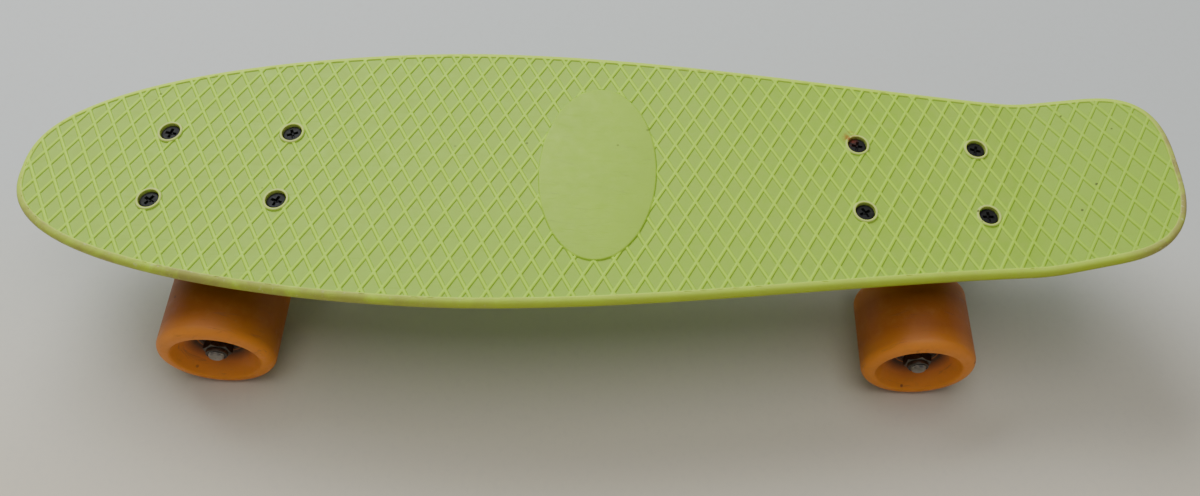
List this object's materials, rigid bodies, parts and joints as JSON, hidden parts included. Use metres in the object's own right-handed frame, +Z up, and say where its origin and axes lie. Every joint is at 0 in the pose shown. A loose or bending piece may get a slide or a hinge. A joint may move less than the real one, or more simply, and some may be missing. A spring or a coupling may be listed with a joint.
{
  "type": "skateboard",
  "caption": "Small moulded-plastic cruiser skateboard with a ribbed top, kicked tail, sprung steering trucks and urethane wheels on ball bearings.",
  "frame": {"origin": "on the floor under the middle of the deck's outline, midway between its nose and tail tips", "axes": "+X along the deck towards the kicked tail, +Y towards the rider's right when facing the nose, +Z up"},
  "size_m": [0.59, 0.163, 0.1058],
  "materials": {
    "deck_plastic": "satin moulded lime-green polypropylene, ribbed and scuffed",
    "black_steel": "black oxide, slightly worn",
    "zinc_steel": "dull zinc plate",
    "truck_alloy": "cast, tumbled",
    "wheel_urethane": "matte cast urethane, dusty",
    "bushing_urethane": "satin cast urethane",
    "black_plastic": "satin",
    "bearing_steel": "ground and polished",
    "cage_nylon": "natural nylon",
    "shield_rubber": "satin black seal"
  },
  "bodies": {
    "deck": {"deck": "deck_plastic", "deck_bolts": "black_steel", "deck_nuts": "zinc_steel", "front_baseplate": "truck_alloy", "front_pivot_cup": "black_plastic", "front_kingpin": "zinc_steel", "front_kingpin_nut": "zinc_steel", "front_bottom_washer": "zinc_steel", "front_lower_bushing": "bushing_urethane", "front_upper_bushing": "bushing_urethane", "front_top_washer": "zinc_steel", "rear_baseplate": "truck_alloy", "rear_pivot_cup": "black_plastic", "rear_kingpin": "zinc_steel", "rear_kingpin_nut": "zinc_steel", "rear_bottom_washer": "zinc_steel", "rear_lower_bushing": "bushing_urethane", "rear_upper_bushing": "bushing_urethane", "rear_top_washer": "zinc_steel"},
    "front_hanger": {"front_hanger": "truck_alloy", "front_axle": "zinc_steel", "front_left_bearing_inner_rings": "bearing_steel", "front_left_spacer": "zinc_steel", "front_left_speed_washers": "zinc_steel", "front_left_axle_nut": "zinc_steel", "front_right_bearing_inner_rings": "bearing_steel", "front_right_spacer": "zinc_steel", "front_right_speed_washers": "zinc_steel", "front_right_axle_nut": "zinc_steel"},
    "rear_hanger": {"rear_hanger": "truck_alloy", "rear_axle": "zinc_steel", "rear_left_bearing_inner_rings": "bearing_steel", "rear_left_spacer": "zinc_steel", "rear_left_speed_washers": "zinc_steel", "rear_left_axle_nut": "zinc_steel", "rear_right_bearing_inner_rings": "bearing_steel", "rear_right_spacer": "zinc_steel", "rear_right_speed_washers": "zinc_steel", "rear_right_axle_nut": "zinc_steel"},
    "front_left_wheel": {"front_left_wheel": "wheel_urethane", "front_left_bearing_outer_rings": "bearing_steel", "front_left_bearing_shields": "shield_rubber"},
    "front_left_balls": {"front_left_bearing_balls": "bearing_steel", "front_left_bearing_cages": "cage_nylon"},
    "front_right_wheel": {"front_right_wheel": "wheel_urethane", "front_right_bearing_outer_rings": "bearing_steel", "front_right_bearing_shields": "shield_rubber"},
    "front_right_balls": {"front_right_bearing_balls": "bearing_steel", "front_right_bearing_cages": "cage_nylon"},
    "rear_left_wheel": {"rear_left_wheel": "wheel_urethane", "rear_left_bearing_outer_rings": "bearing_steel", "rear_left_bearing_shields": "shield_rubber"},
    "rear_left_balls": {"rear_left_bearing_balls": "bearing_steel", "rear_left_bearing_cages": "cage_nylon"},
    "rear_right_wheel": {"rear_right_wheel": "wheel_urethane", "rear_right_bearing_outer_rings": "bearing_steel", "rear_right_bearing_shields": "shield_rubber"},
    "rear_right_balls": {"rear_right_bearing_balls": "bearing_steel", "rear_right_bearing_cages": "cage_nylon"}
  },
  "joints": [
    {"name": "front_steer", "type": "hinge", "parent": "deck", "child": "front_hanger", "pos_m": [-0.17, 0, 0.044], "axis": [-0.8854, 0, 0.4648], "range_deg": [-12, 12], "stiffness_Nm_per_rad": 20, "deforming": ["front_lower_bushing", "front_upper_bushing"]},
    {"name": "rear_steer", "type": "hinge", "parent": "deck", "child": "rear_hanger", "pos_m": [0.146, 0, 0.044], "axis": [0.8854, 0, 0.4648], "range_deg": [-12, 12], "stiffness_Nm_per_rad": 20, "deforming": ["rear_lower_bushing", "rear_upper_bushing"]},
    {"name": "front_left_spin", "type": "hinge", "parent": "front_hanger", "child": "front_left_wheel", "pos_m": [-0.192, -0.059, 0.0295], "axis": [0, 1, 0], "continuous": true},
    {"name": "front_left_ball_spin", "type": "hinge", "parent": "front_hanger", "child": "front_left_balls", "pos_m": [-0.192, -0.059, 0.0295], "axis": [0, 1, 0], "continuous": true},
    {"name": "front_right_spin", "type": "hinge", "parent": "front_hanger", "child": "front_right_wheel", "pos_m": [-0.192, 0.059, 0.0295], "axis": [0, 1, 0], "continuous": true},
    {"name": "front_right_ball_spin", "type": "hinge", "parent": "front_hanger", "child": "front_right_balls", "pos_m": [-0.192, 0.059, 0.0295], "axis": [0, 1, 0], "continuous": true},
    {"name": "rear_left_spin", "type": "hinge", "parent": "rear_hanger", "child": "rear_left_wheel", "pos_m": [0.168, -0.059, 0.0295], "axis": [0, 1, 0], "continuous": true},
    {"name": "rear_left_ball_spin", "type": "hinge", "parent": "rear_hanger", "child": "rear_left_balls", "pos_m": [0.168, -0.059, 0.0295], "axis": [0, 1, 0], "continuous": true},
    {"name": "rear_right_spin", "type": "hinge", "parent": "rear_hanger", "child": "rear_right_wheel", "pos_m": [0.168, 0.059, 0.0295], "axis": [0, 1, 0], "continuous": true},
    {"name": "rear_right_ball_spin", "type": "hinge", "parent": "rear_hanger", "child": "rear_right_balls", "pos_m": [0.168, 0.059, 0.0295], "axis": [0, 1, 0], "continuous": true}
  ],
  "couplings": [
    {"joint": "front_left_ball_spin", "follows": "front_left_spin", "ratio": 0.632},
    {"joint": "front_right_ball_spin", "follows": "front_right_spin", "ratio": 0.632},
    {"joint": "rear_left_ball_spin", "follows": "rear_left_spin", "ratio": 0.632},
    {"joint": "rear_right_ball_spin", "follows": "rear_right_spin", "ratio": 0.632}
  ]
}
